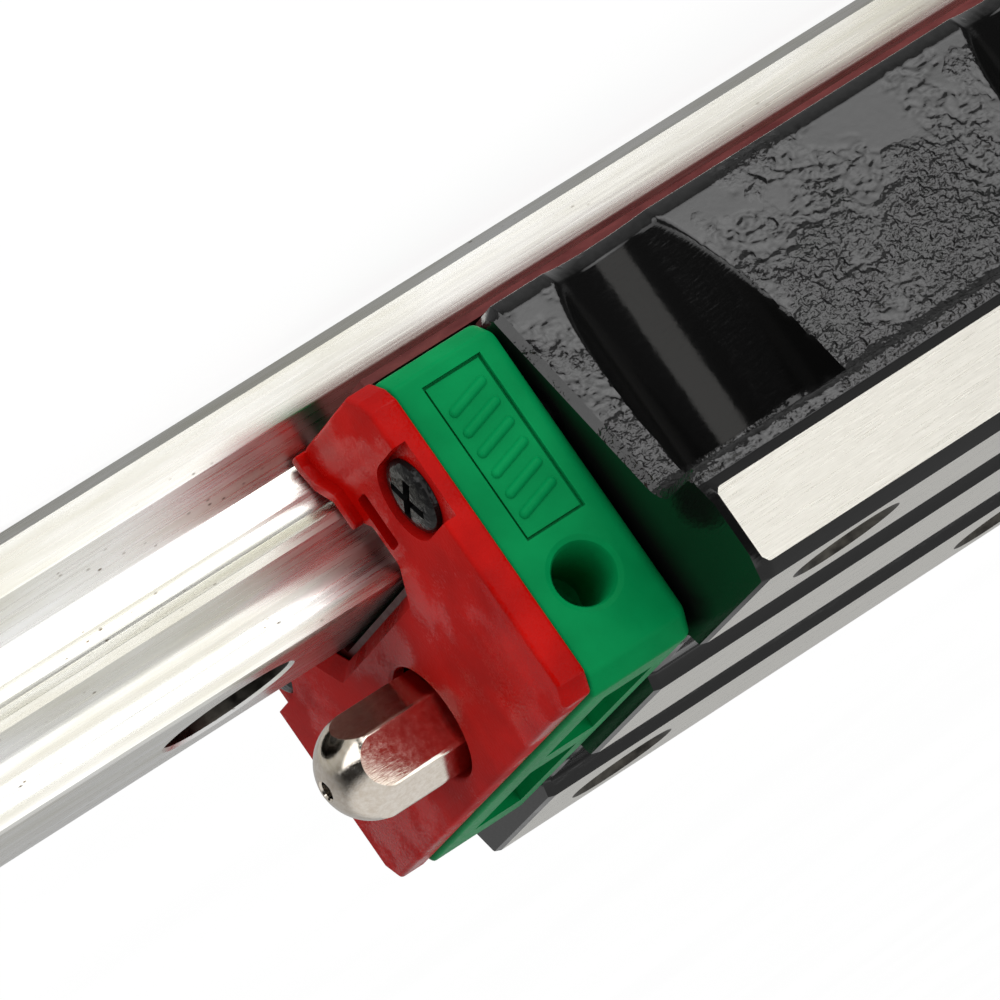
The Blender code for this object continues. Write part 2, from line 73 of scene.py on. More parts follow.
CARRIAGE_X = middle_of("block", X)
BLOCK_HALF_LENGTH = high_side("block", X) - CARRIAGE_X
BLOCK_HALF_WIDTH = high_side("block", Y)
BLOCK_BOTTOM = low_side("block", Z)
BLOCK_TOP = high_side("block", Z)
RAIL_HALF_LENGTH = high_side("rail", X)
RAIL_HALF_WIDTH = high_side("rail", Y)
RAIL_HEIGHT = high_side("rail", Z)
SEAL_FACE = high_side("end_seal_front", X) - CARRIAGE_X
SEAL_BACK = low_side("end_seal_front", X) - CARRIAGE_X
CAP_BACK = low_side("end_cap_front", X) - CARRIAGE_X
NIPPLE_TIP = high_side("grease_nipple", X) - CARRIAGE_X
NIPPLE_Z = middle_of("grease_nipple", Z)
SCREW_Y = -middle_of("cap_screw_front_left", Y)
SCREW_Z = middle_of("cap_screw_front_left", Z)

BOLT_X = 13.0  # the tapped holes in the flanges
BOLT_Y = 20.5
SCOOP_RADIUS = 5.0  # the round clearance under each tapped hole
RAIL_HOLE_X = 30.0

# Middles (y, z) of the loaded ball rows and of the bores the balls return through.
UPPER_ROW = (7.95, 10.4)
LOWER_ROW = (7.95, 6.4)
UPPER_RETURN = (12.3, 13.6)
LOWER_RETURN = (12.3, 6.8)
RETURN_RADIUS = 1.8
CHANNEL_TOP = 13.65

ENDS = {"front": 1, "rear": -1}
SIDES = {"left": -1, "right": 1}


# Mesh tools


def arc(centre, radius, start, end, steps):
    """Points (y, z) on an arc between two angles in degrees."""
    points = []
    for step in range(steps + 1):
        angle = math.radians(start + (end - start) * step / steps)
        y = centre[0] + radius * math.cos(angle)
        points.append((y, centre[1] + radius * math.sin(angle)))
    return points


def flipped(outline, side):
    """The same outline on the side the sign names."""
    return [(side * y, z) for y, z in outline]


def closed_half(half):
    """A whole outline from its +Y half, of points (y, z) or corners (y, z, radius)."""
    return half + [(-point[0], *point[1:]) for point in reversed(half) if point[0] > 1e-6]


def rounded(corners, steps=5):
    """A closed outline with each corner (y, z, radius) turned into an arc."""
    outline = []
    count = len(corners)
    for index, (y, z, radius) in enumerate(corners):
        here = Vector((y, z))
        back = Vector(corners[index - 1][:2]) - here
        ahead = Vector(corners[(index + 1) % count][:2]) - here
        if radius <= 0:
            outline.append((y, z))
            continue
        half = back.angle(ahead) / 2
        reach = min(radius / math.tan(half), 0.49 * back.length, 0.49 * ahead.length)
        start = here + back.normalized() * reach
        end = here + ahead.normalized() * reach
        for step in range(steps + 1):
            t = step / steps
            point = start * (1 - t) ** 2 + here * 2 * t * (1 - t) + end * t * t
            outline.append(tuple(point))
    return outline


def link(name, mesh, x_shift=CARRIAGE_X):
    made = bpy.data.objects.new(name, mesh)
    made.location.x = x_shift * MM
    bpy.context.scene.collection.objects.link(made)
    return made


def evaluated_mesh(thing):
    graph = bpy.context.evaluated_depsgraph_get()
    return bpy.data.meshes.new_from_object(thing.evaluated_get(graph))


def prism(name, outlines, x_from, x_to, edge=0.0, x_shift=CARRIAGE_X):
    """A flat outline seen along X, drawn out along X, with its face edges rounded by `edge`."""
    curve = bpy.data.curves.new(name, "CURVE")
    curve.dimensions = "2D"
    curve.fill_mode = "BOTH"
    curve.extrude = (abs(x_to - x_from) / 2 - edge) * MM
    curve.bevel_depth = edge * MM
    curve.bevel_resolution = 3
    curve.offset = -edge * MM
    for outline in outlines:
        spline = curve.splines.new("POLY")
        spline.points.add(len(outline) - 1)
        spline.use_cyclic_u = True
        for point, (y, z) in zip(spline.points, outline):
            point.co = (y * MM, z * MM, 0, 1)
    drawn = bpy.data.objects.new(name, curve)
    bpy.context.scene.collection.objects.link(drawn)
    mesh = evaluated_mesh(drawn)
    bpy.data.objects.remove(drawn)
    bpy.data.curves.remove(curve)
    turn = Matrix(((0, 0, 1, 0), (1, 0, 0, 0), (0, 1, 0, 0), (0, 0, 0, 1)))
    mesh.transform(Matrix.Translation(((x_from + x_to) / 2 * MM, 0, 0)) @ turn)
    tidy(mesh)
    return link(name, mesh, x_shift)


def tidy(mesh):
    shell = bmesh.new()
    shell.from_mesh(mesh)
    bmesh.ops.remove_doubles(shell, verts=shell.verts, dist=2e-6)
    bmesh.ops.recalc_face_normals(shell, faces=shell.faces)
    shell.to_mesh(mesh)
    shell.free()


def turned(name, profile, place, axis, steps=48, x_shift=CARRIAGE_X):
    """A profile of (radius, height), listed from the top down, turned about an axis."""
    shell = bmesh.new()
    points = [shell.verts.new((r * MM, 0, h * MM)) for r, h in profile]
    edges = [shell.edges.new(pair) for pair in zip(points, points[1:])]
    bmesh.ops.spin(
        shell,
        geom=points + edges,
        cent=(0, 0, 0),
        axis=(0, 0, 1),
        angle=2 * math.pi,
        steps=steps,
        use_merge=True,
    )
    bmesh.ops.remove_doubles(shell, verts=shell.verts, dist=1e-6)
    bmesh.ops.recalc_face_normals(shell, faces=shell.faces)
    turn = Vector((0, 0, 1)).rotation_difference(Vector(axis)).to_matrix().to_4x4()
    shell.transform(Matrix.Translation([value * MM for value in place]) @ turn)
    mesh = bpy.data.meshes.new(name)
    shell.to_mesh(mesh)
    shell.free()
    return link(name, mesh, x_shift)


def rod(name, radius, start, length, axis, steps=48):
    profile = [(0, length), (radius, length), (radius, 0), (0, 0)]
    return turned(name, profile, start, axis, steps)


def box(name, low, high):
    shell = bmesh.new()
    bmesh.ops.create_cube(shell, size=1)
    size = [(b - a) * MM for a, b in zip(low, high)]
    centre = [(a + b) / 2 * MM for a, b in zip(low, high)]
    shell.transform(Matrix.Translation(centre) @ Matrix.Diagonal((*size, 1)))
    mesh = bpy.data.meshes.new(name)
    shell.to_mesh(mesh)
    shell.free()
    return link(name, mesh)


def settle(thing):
    """Applies the modifiers."""
    mesh = evaluated_mesh(thing)
    thing.modifiers.clear()
    thing.data = mesh


def carve(target, others, operation="DIFFERENCE"):
    """Cuts the other shapes away from the target, or joins them to it, and removes them."""
    for other in others:
        step = target.modifiers.new(other.name, "BOOLEAN")
        step.operation = operation
        step.solver = "MANIFOLD"
        step.object = other
    settle(target)
    for other in others:
        bpy.data.objects.remove(other)


def smooth(thing, degrees=30):
    thing.data.shade_smooth()
    thing.data.set_sharp_from_angle(angle=math.radians(degrees))


def span(start, end, outward):
    """Two places along X, measured outwards at one end of the carriage, in rising order."""
    return sorted((start * outward, end * outward))


# Materials


NOISE_LOW = 0.3  # a noise texture stays mostly between these values
NOISE_HIGH = 0.7


def set_range(ramp, low, high, new_low, new_high):
    """Makes a Map Range node turn low and high into new_low and new_high."""
    limits = {"From Min": low, "From Max": high, "To Min": new_low, "To Max": new_high}
    for name, number in limits.items():
        ramp.inputs[name].default_value = number


class Shading:
    """A Principled material and short ways to wire texture into it."""

    def __init__(self, name, colour, roughness, metallic=0.0, **inputs):
        self.material = bpy.data.materials.new(name)
        self.material.use_nodes = True
        self.tree = self.material.node_tree
        self.shader = self.tree.nodes["Principled BSDF"]
        self.set("Base Color", (*colour, 1.0))
        self.set("Roughness", roughness)
        self.set("Metallic", metallic)
        for socket, value in inputs.items():
            self.set(socket.replace("_", " "), value)
        self.last_normal = None

    def set(self, socket, value):
        self.shader.inputs[socket].default_value = value

    def node(self, kind, **values):
        made = self.tree.nodes.new(kind)
        for name, value in values.items():
            if hasattr(made, name):
                setattr(made, name, value)
            else:
                made.inputs[name.replace("_", " ")].default_value = value
        return made

    def wire(self, start, end):
        self.tree.links.new(start, end)

    def place(self, stretch):
        """Object coordinates in millimetres, multiplied by a stretch for each axis."""
        source = self.node("ShaderNodeTexCoord")
        scaled = self.node("ShaderNodeVectorMath", operation="MULTIPLY")
        self.wire(source.outputs["Object"], scaled.inputs[0])
        scaled.inputs[1].default_value = [value / MM for value in stretch]
        return scaled.outputs[0]

    def noise(self, stretch, detail=4.0, roughness=0.5):
        texture = self.node("ShaderNodeTexNoise", Scale=1.0, Detail=detail, Roughness=roughness)
        self.wire(self.place(stretch), texture.inputs["Vector"])
        return texture.outputs["Fac"]

    def spots(self, stretch):
        """The distance to the nearest of many scattered points."""
        texture = self.node("ShaderNodeTexVoronoi", Scale=1.0)
        self.wire(self.place(stretch), texture.inputs["Vector"])
        return texture.outputs["Distance"]

    def height(self):
        """The Z coordinate in millimetres."""
        parts = self.node("ShaderNodeSeparateXYZ")
        self.wire(self.place((1, 1, 1)), parts.inputs[0])
        return parts.outputs["Z"]

    def mapped(self, value, low, high, new_low, new_high):
        ramp = self.node("ShaderNodeMapRange", clamp=True)
        self.wire(value, ramp.inputs["Value"])
        set_range(ramp, low, high, new_low, new_high)
        return ramp.outputs["Result"]

    def vary_roughness(self, value, low, high, value_low=NOISE_LOW, value_high=NOISE_HIGH):
        ramp = self.mapped(value, value_low, value_high, low, high)
        self.wire(ramp, self.shader.inputs["Roughness"])

    def vary_colour(self, value, dark, light, low=0.35, high=0.65):
        ramp = self.node("ShaderNodeValToRGB")
        ramp.color_ramp.elements[0].color = (*dark, 1.0)
        ramp.color_ramp.elements[0].position = low
        ramp.color_ramp.elements[1].color = (*light, 1.0)
        ramp.color_ramp.elements[1].position = high
        self.wire(value, ramp.inputs["Fac"])
        self.wire(ramp.outputs["Color"], self.shader.inputs["Base Color"])

    def product(self, a, b):
        made = self.node("ShaderNodeMath", operation="MULTIPLY")
        self.wire(a, made.inputs[0])
        self.wire(b, made.inputs[1])
        return made.outputs[0]

    def added(self, a, b, share):
        """The first value plus a share of the second."""
        made = self.node("ShaderNodeMath", operation="MULTIPLY_ADD")
        self.wire(b, made.inputs[0])
        made.inputs[1].default_value = share
        self.wire(a, made.inputs[2])
        return made.outputs[0]

    def cover(self, mask, colour):
        """Lays a colour over the base colour where the mask is 1."""
        base = self.shader.inputs["Base Color"]
        mix = self.node("ShaderNodeMix", data_type="RGBA")
        self.wire(mask, mix.inputs[0])
        self.wire(base.links[0].from_socket, mix.inputs[6])
        mix.inputs[7].default_value = (*colour, 1.0)
        self.wire(mix.outputs[2], base)

    def bump(self, height, depth):
        """Raises the surface by up to a depth in millimetres, on top of any earlier bump."""
        made = self.node("ShaderNodeBump", Strength=1.0, Distance=depth * MM)
        self.wire(height, made.inputs["Height"])
        if self.last_normal:
            self.wire(self.last_normal, made.inputs["Normal"])
        self.last_normal = made.outputs["Normal"]
        self.wire(self.last_normal, self.shader.inputs["Normal"])


def rail_material():
    """Ground steel: fine scratches along the rail, pale stains and clusters of dark specks."""
    steel = Shading("rail_steel", (0.66, 0.66, 0.65), 0.3, 1.0)
    grain = steel.noise((0.12, 9, 9), detail=6)
    steel.vary_roughness(grain, 0.22, 0.36)
    stains = steel.noise((0.06, 0.5, 0.5), detail=8, roughness=0.65)
    steel.vary_colour(stains, (0.62, 0.61, 0.54), (0.77, 0.77, 0.755))
    dots = steel.mapped(steel.spots((1.2, 2.4, 2.4)), 0.08, 0.2, 1, 0)
    clusters = steel.mapped(steel.noise((0.1, 0.6, 0.6), detail=4), 0.55, 0.62, 0, 1)
    steel.cover(steel.product(dots, clusters), (0.16, 0.13, 0.1))
    steel.bump(grain, 0.004)
    return steel.material


def shaded_bore_material():
    """The walls of the holes, in a dark steel colour that is painted shade inside them, with random
    blotches.
    """
    steel = Shading("bore_painted_shade", (0.05, 0.047, 0.042), 0.4, 1.0)
    bore_blotches = steel.noise((1.5, 1.5, 1.5), detail=5)
    steel.vary_roughness(bore_blotches, 0.3, 0.5)
    steel.vary_colour(bore_blotches, (0.03, 0.028, 0.025), (0.08, 0.075, 0.065))
    return steel.material


def land_material():
    """Bare ground faces of the block, brushed along X."""
    steel = Shading("ground_land", (0.8, 0.78, 0.72), 0.3, 1.0)
    grain = steel.noise((0.3, 16, 16), detail=8, roughness=0.75)
    steel.vary_roughness(grain, 0.22, 0.42)
    steel.vary_colour(grain, (0.56, 0.545, 0.5), (0.8, 0.785, 0.735), 0.3, 0.7)
    steel.bump(grain, 0.012)
    return steel.material


def race_material():
    """The ground ball tracks."""
    steel = Shading("race_steel", (0.7, 0.7, 0.7), 0.12, 1.0)
    grain = steel.noise((0.2, 12, 12), detail=4)
    steel.vary_roughness(grain, 0.08, 0.2)
    steel.bump(grain, 0.002)
    return steel.material


GRAIN_LOW = 6.0  # the forged skin's grain grows between these heights
GRAIN_HIGH = 14.5


def paint_material():
    """Glossy black paint over the forged skin, which turns from flat to grainy up the flange."""
    paint = Shading("black_paint", (0.004, 0.004, 0.004), 0.12, Specular_IOR_Level=0.48)
    patch = paint.noise((0.34, 0.34, 0.34), detail=3)
    rise = paint.mapped(paint.height(), GRAIN_LOW, GRAIN_HIGH, -0.14, 0.12)
    mask = paint.mapped(paint.added(patch, rise, 1), 0.44, 0.58, 0.04, 1)
    pits = paint.noise((3, 3, 3), detail=1.5, roughness=0.5)
    paint.bump(paint.product(pits, mask), 0.14)
    paint.bump(paint.noise((9, 9, 9), detail=2), 0.002)
    paint.vary_roughness(mask, 0.1, 0.2, 0, 1)
    paint.vary_colour(pits, (0.003, 0.003, 0.003), (0.006, 0.006, 0.006))
    return paint.material


def smooth_paint_material():
    """The same paint where the block is machined, smooth but for fine ripples."""
    paint = Shading("smooth_paint", (0.003, 0.003, 0.003), 0.12, Specular_IOR_Level=0.36)
    ripples = paint.noise((1.4, 1.4, 7), detail=4)
    paint.bump(ripples, 0.009)
    paint.vary_roughness(ripples, 0.09, 0.16)
    return paint.material


def green_material():
    """The end caps' moulded plastic, faintly clouded and textured."""
    plastic = Shading("green_plastic", (0.001, 0.2, 0.055), 0.34, Specular_IOR_Level=0.02)
    cloud = plastic.noise((0.25, 0.25, 0.25), detail=4)
    plastic.vary_colour(cloud, (0.001, 0.17, 0.048), (0.002, 0.215, 0.062))
    plastic.bump(plastic.noise((5, 5, 5), detail=4), 0.008)
    plastic.vary_roughness(plastic.noise((3, 3, 3), detail=3), 0.26, 0.42)
    return plastic.material


def red_material():
    """Glossy red with fine orange peel, and a shine that comes and goes in grainy patches."""
    red = Shading("red_seal", (0.36, 0.002, 0.001), 0.2, Specular_IOR_Level=0.08)
    peel = red.noise((5.5, 5.5, 5.5), detail=2)
    red.bump(peel, 0.025)
    red.bump(red.spots((3, 3, 3)), 0.004)
    red.vary_colour(red.noise((0.3, 0.3, 0.3)), (0.29, 0.0015, 0.0008), (0.4, 0.003, 0.0015))
    patches = red.added(red.noise((0.22, 0.22, 0.22), detail=2), red.noise((6, 6, 6), detail=1), 0.25)
    red.vary_roughness(patches, 0.6, 0.16, 0.6, 0.69)
    return red.material


def strip_material():
    """The bottom seals, in a darker and duller red than the end plates: the darkness is painted shade
    from under the block, with a random mottle.
    """
    red = Shading("red_painted_shade", (0.13, 0.02, 0.02), 0.5, Specular_IOR_Level=0.2)
    strip_mottle = red.noise((0.5, 2, 2), detail=5)
    red.vary_colour(strip_mottle, (0.1, 0.012, 0.012), (0.17, 0.035, 0.033))
    red.vary_roughness(strip_mottle, 0.4, 0.6)
    return red.material


def rubber_material():
    """The wiping lip, in the plate's red but dull and dark."""
    rubber = Shading("seal_rubber", (0.1, 0.002, 0.002), 0.45)
    rubber.bump(rubber.noise((6, 6, 6)), 0.01)
    rubber.vary_roughness(rubber.noise((2, 2, 2)), 0.35, 0.55)
    return rubber.material


def nickel_material():
    """Warm, bright plating with fine turning marks."""
    nickel = Shading("nickel", (0.74, 0.67, 0.58), 0.12, 1.0)
    marks = nickel.noise((3, 3, 3), detail=6, roughness=0.7)
    nickel.vary_roughness(marks, 0.07, 0.2)
    nickel.vary_colour(marks, (0.66, 0.58, 0.49), (0.8, 0.74, 0.66))
    nickel.bump(nickel.noise((2.5, 14, 14), detail=4), 0.004)
    return nickel.material


def screw_material():
    """Black oxide, a little uneven."""
    black = Shading("black_screw", (0.006, 0.006, 0.006), 0.14, Specular_IOR_Level=0.2)
    black.bump(black.noise((1.6, 1.6, 1.6), detail=2), 0.12)
    black.bump(black.noise((7, 7, 7)), 0.012)
    black.vary_roughness(black.noise((5, 5, 5)), 0.1, 0.2)
    return black.material


def ball_material():
    steel = Shading("ball_steel", (0.75, 0.75, 0.76), 0.06, 1.0)
    steel.vary_roughness(steel.noise((2, 2, 2)), 0.04, 0.1)
    return steel.material


def retainer_material():
    plastic = Shading("retainer_plastic", (0.62, 0.6, 0.52), 0.4, Subsurface_Weight=0.1)
    plastic.bump(plastic.noise((4, 4, 4)), 0.006)
    plastic.vary_roughness(plastic.noise((1.5, 1.5, 1.5)), 0.32, 0.5)
    return plastic.material


def spring_material():
    wire = Shading("spring_steel", (0.5, 0.5, 0.5), 0.3, 1.0)
    wire.vary_roughness(wire.noise((6, 6, 6)), 0.2, 0.4)
    return wire.material


MATERIALS = {
    "ground_steel": rail_material(),
    "bore": shaded_bore_material(),
    "land": land_material(),
    "race": race_material(),
    "black_paint": paint_material(),
    "smooth_paint": smooth_paint_material(),
    "green_plastic": green_material(),
    "red_seal": red_material(),
    "red_painted_shade": strip_material(),
    "seal_rubber": rubber_material(),
    "nickel": nickel_material(),
    "black_screw": screw_material(),
    "ball_steel": ball_material(),
    "retainer_plastic": retainer_material(),
    "spring_steel": spring_material(),
}


def finish_piece(piece, body, slot, *nodes):
    """One material all over, the body it moves with and the CAD nodes it stands for."""
    piece.data.materials.clear()
    piece.data.materials.append(MATERIALS[slot])
    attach(piece, body)
    if nodes:
        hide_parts(*nodes)
    return piece


# Rail


RAIL_GROOVE_RADIUS = 1.65
RAIL_BORE_RADIUS = 2.25
COUNTERBORE_RADIUS = 3.75
COUNTERBORE_FLOOR = 7.2


def rail_half_outline():
    """Half the rail's section, from the middle of its foot round the side to the middle of its top."""
    upper = arc(UPPER_ROW, RAIL_GROOVE_RADIUS, 232, 159, 18)
    lower = arc(LOWER_ROW, RAIL_GROOVE_RADIUS, 184, 145, 14)
    foot = [(6.9, 0), (RAIL_HALF_WIDTH, 0.6), (RAIL_HALF_WIDTH, 2.75), (7.45, 2.85)]
    waist = [(5.88, 4.66), (5.82, 4.8)]
    ridge = [(7.42, 7.82), (RAIL_HALF_WIDTH, 7.92), (RAIL_HALF_WIDTH, 8.4), (7.42, 8.5)]
    head = [(6.73, 11.55), (6.75, 11.65), (6.75, 12.1), (6.65, 12.35), (6.4, RAIL_HEIGHT - 0.04)]
    half = [(0, 0)] + foot + waist + lower + ridge + upper + head
    return half + [(6.2, RAIL_HEIGHT), (0, RAIL_HEIGHT)]


def make_rail():
    outline = closed_half(rail_half_outline())
    reach = RAIL_HALF_LENGTH
    rail = prism("rail_steel_bar", [outline], -reach, reach, x_shift=0)
    top, bore, wide, floor = RAIL_HEIGHT, RAIL_BORE_RADIUS, COUNTERBORE_RADIUS, COUNTERBORE_FLOOR
    hole = [(0, top + 1), (wide + 0.25, top + 1), (wide + 0.25, top), (wide + 0.03, top - 0.15)]
    hole += [(wide, top - 0.3), (wide, floor + 0.3), (wide - 0.35, floor), (bore + 0.2, floor)]
    hole += [(bore, floor - 0.2), (bore, -1), (0, -1)]
    cutters = []
    for x in (-RAIL_HOLE_X, RAIL_HOLE_X):
        cutters.append(turned("rail_hole", hole, (x, 0, 0), (0, 0, 1), 64, x_shift=0))
    carve(rail, cutters)
    smooth(rail, 28)
    finish_piece(rail, "rail", "ground_steel", "rail")
    # The counterbores' walls take the dark bore colour, which is painted shade inside the holes.
    rail.data.materials.append(MATERIALS["bore"])
    for face in rail.data.polygons:
        centre = face.center / MM
        inside = math.hypot(abs(centre.x) - RAIL_HOLE_X, centre.y) < COUNTERBORE_RADIUS + 0.1
        if inside and abs(face.normal.z) < 0.99 and centre.z < RAIL_HEIGHT - 0.2:
            face.material_index = 1
    return rail


# Block


def soft_min(a, b, blend):
    """The smaller of two values, rounded where they meet."""
    h = max(0.0, 1 - abs(a - b) / blend)
    return min(a, b) - h * h * blend / 4


def scoop_wall(x):
    """How far out the round scoop's wall stands at x, or the block's side where there is none."""
    off = abs(abs(x) - BOLT_X)
    if off >= SCOOP_RADIUS:
        return BLOCK_HALF_WIDTH
    return BOLT_Y - math.sqrt(SCOOP_RADIUS**2 - off**2)


def slope_y(z):
    """How far out the forged side stands at a height: it leans outwards."""
    return 16.35 + 0.352 * (z - BLOCK_BOTTOM)


def smooth_step(value, low, high):
    t = min(1.0, max(0.0, (value - low) / (high - low)))
    return t * t * (3 - 2 * t)


SKIN_GROWTH = 0.055  # how fast the forged skin turns grainy with height
SKIN_MIDDLE = 9.5


def forged_height(x, y, z):
    """Height of the forged skin under the paint: flat patches broken by clusters of lumps."""
    here = Vector((x, y, z))
    broad = noise.noise(here * 0.3) * 0.05
    patch = noise.noise(here * 0.28 + Vector((7, 3, 1))) + 0.4 * noise.noise(here * 1.1)
    rough = smooth_step(patch + SKIN_GROWTH * (z - SKIN_MIDDLE), -0.3, 0.0)
    bent = here + noise.noise_vector(here * 2.4) * 0.22
    near, next_near = noise.voronoi(bent * 3.1)[0][:2]
    crack = 1 - smooth_step(next_near - near, 0.0, 0.5)
    deep = smooth_step(noise.noise(here * 2.1 + Vector((2, 9, 4))), -0.3, 0.3)
    lumps = noise.noise(here * 2.7 + Vector((5, 1, 8)))
    return broad + rough * (0.045 * lumps - crack * (0.01 + 0.035 * deep))


SKIN_STEPS = 116
FILLET_STEPS = 8
UNDER_STEPS = 6
FLANK_STEPS = 10
WALL_LOW = BLOCK_BOTTOM + 0.9
WALL_HIGH = 16.3
LAND_LOW = 18.95
LAND_HIGH = 23.3
FILLET_RADIUS = 1.1
FLANGE_EDGE = (24.75, 18.12)  # middle of the round edge under the side land
FLANGE_EDGE_RADIUS = 0.72
END_CHAMFER = 0.42
LAND_CHAMFER = 0.35  # the side land's end edges, as a share of the end chamfer
RELIEF_FLOOR = BLOCK_TOP - 0.8  # the shallow channels between the lands on top
RING_COUNT = 331  # sections along the block, without the ones at its end chamfers


def corner_cut(x):
    """How far the side land's corners are cut back at x, close to the block's ends."""
    to_end = BLOCK_HALF_LENGTH - abs(x)
    return min(0.5, max(0.0, 0.65 - to_end))


def flange_side(x):
    """One side of the block's section at x, from the lower outer edge to the side land's foot.

    Each entry is (y, z, skin, shift): skin is 1 where the forged skin shows and 0 on a smooth
    face, and shift is the way the entry moves when the block's ends are drawn in."""
    wall = scoop_wall(x)
    in_scoop = wall < slope_y(11)
    inward = Vector((-1.06, 0))
    raised = Vector((0, 1))
    foot = min(slope_y(WALL_LOW), wall)
    side = [(foot - 0.75, BLOCK_BOTTOM, 0, inward + raised)]
    side.append((foot - 0.62, BLOCK_BOTTOM + 0.04, 0, inward + raised))
    side.append((foot - 0.04, WALL_LOW - 0.12, 0.8, inward))
    for step in range(SKIN_STEPS + 1):
        z = WALL_LOW + (WALL_HIGH - WALL_LOW) * step / SKIN_STEPS
        y = soft_min(slope_y(z), wall, 0.3)
        side.append((y, z, 0.05 if wall < slope_y(z) + 0.2 else 1, inward))
    start = side[-1][0]
    for step in range(1, FILLET_STEPS + 1):
        turn = step / FILLET_STEPS
        angle = math.pi / 2 * turn
        y = start + FILLET_RADIUS * (1 - math.cos(angle))
        shift = inward * (1 - turn) + raised * turn
        side.append((y, WALL_HIGH + math.sin(angle), 0.05 if in_scoop else 0.2, shift))
    start = side[-1][0]
    edge_y, edge_z = FLANGE_EDGE
    for step in range(1, UNDER_STEPS + 1):
        y = start + (edge_y - start) * step / UNDER_STEPS
        side.append((y, WALL_HIGH + 1 + 0.1 * step / UNDER_STEPS, 0.3, raised))
    for step in range(1, FLANK_STEPS + 1):
        angle = math.radians(-90 + 78 * step / FLANK_STEPS)
        outward = Vector((math.cos(angle), math.sin(angle)))
        y = edge_y + FLANGE_EDGE_RADIUS * outward.x
        side.append((y, edge_z + FLANGE_EDGE_RADIUS * outward.y, 0.75, -outward))
    land_foot = LAND_LOW + 1.2 * corner_cut(x)
    level = Vector((-LAND_CHAMFER, 0))
    side += [(25.47, 18.1, 0.1, level), (25.47, 18.36, 0, level)]
    return side + [(25.55, 18.46, 0, level), (BLOCK_HALF_WIDTH, land_foot, 0, level)]


def block_half_section(x):
    """Half the section, from the channel's lower edge round the outside to the middle of the top."""
    top = BLOCK_TOP
    still, down, raised = Vector((0, 0)), Vector((0, -0.3)), Vector((0, 1))
    edge = [(BLOCK_HALF_WIDTH, LAND_HIGH - 1.6 * corner_cut(x), 0, Vector((-LAND_CHAMFER, 0)))]
    edge += [(25.42, 23.9, 0.1, Vector((-0.4, -0.3))), (25.3, top, 0, Vector((-0.4, -0.3)))]
    low = RELIEF_FLOOR
    relief = [(14.3, top), (14.2, top - 0.12), (13.9, low + 0.12), (13.6, low)]
    relief += [(6.5, low), (6.3, low + 0.12), (6.0, top - 0.12), (5.9, top)]
    relief = [(y, z, 0, down) for y, z in relief]
    bottom = [(8.75, BLOCK_BOTTOM, 0, still)]
    bottom += [(11.5, BLOCK_BOTTOM, 0, raised), (14.2, BLOCK_BOTTOM, 0, raised)]
    return bottom + flange_side(x) + edge + relief + [(0, top, 0, down)]


TRACK_RADIUS = 1.75


def channel_half():
    """The ball tracks and the retainers' seats, from the lower edge to the middle of the ceiling."""
    lower = arc(LOWER_ROW, TRACK_RADIUS, -62, 0, 10)
    seat = [(9.7, 7.65), (10.2, 7.65), (10.2, 9.15), (9.7, 9.15)]
    upper = arc(UPPER_ROW, TRACK_RADIUS, 0, 100, 14)
    return lower + seat + upper + [(7.75, 12.9), (7.2, CHANNEL_TOP), (3.5, CHANNEL_TOP)]


def block_ring(x):
    """Points round the whole section at x, with the forged skin raised and the ends drawn in."""
    half = block_half_section(x)
    still = Vector((0, 0))
    inner = [(y, z, 0, still) for y, z in channel_half()]
    right = half + [(-y, z, skin, Vector((-s.x, s.y))) for y, z, skin, s in reversed(half[:-1])]
    left = [(-y, z, skin, shift) for y, z, skin, shift in inner]
    ring = right + left + [(0, CHANNEL_TOP, 0, still)] + list(reversed(inner))
    to_end = BLOCK_HALF_LENGTH - abs(x)
    inset = max(0.0, END_CHAMFER - to_end)
    fade = smooth_step(to_end, END_CHAMFER - 0.05, END_CHAMFER + 0.25)
    points = []
    for index, (y, z, skin, shift) in enumerate(ring):
        before, after = ring[index - 1], ring[(index + 1) % len(ring)]
        normal = Vector((after[1] - before[1], before[0] - after[0]))
        normal.normalize()
        raise_by = skin * fade * forged_height(x, y, z) if skin else 0.0
        y += normal.x * raise_by + shift.x * inset
        z += normal.y * raise_by + shift.y * inset
        points.append((x, y, z))
    return points


def block_stations():
    """Places along X for the rings, with a chamfer at each end."""
    ends = [0.0, 0.02, END_CHAMFER - 0.04, END_CHAMFER, END_CHAMFER + 0.08]
    inner = BLOCK_HALF_LENGTH - END_CHAMFER - 0.2
    between = [-inner + 2 * inner * step / (RING_COUNT - 1) for step in range(RING_COUNT)]
    first = [-BLOCK_HALF_LENGTH + step for step in ends]
    return first + between + [-x for x in reversed(first)]


def loft(name, rings):
    """Quads between rings of points, with a face over each end."""
    shell = bmesh.new()
    made = [[shell.verts.new([value * MM for value in point]) for point in ring] for ring in rings]
    for here, there in zip(made, made[1:]):
        for index in range(len(here)):
            after = (index + 1) % len(here)
            shell.faces.new((here[index], there[index], there[after], here[after]))
    for ring in (made[0], made[-1]):
        face = shell.faces.new(ring)
        face.normal_update()
        bmesh.ops.triangulate(shell, faces=[face], ngon_method="EAR_CLIP")
    bmesh.ops.recalc_face_normals(shell, faces=shell.faces)
    mesh = bpy.data.meshes.new(name)
    shell.to_mesh(mesh)
    shell.free()
    return link(name, mesh)


THREAD_TURNS = 7
THREAD_PITCH = 0.8


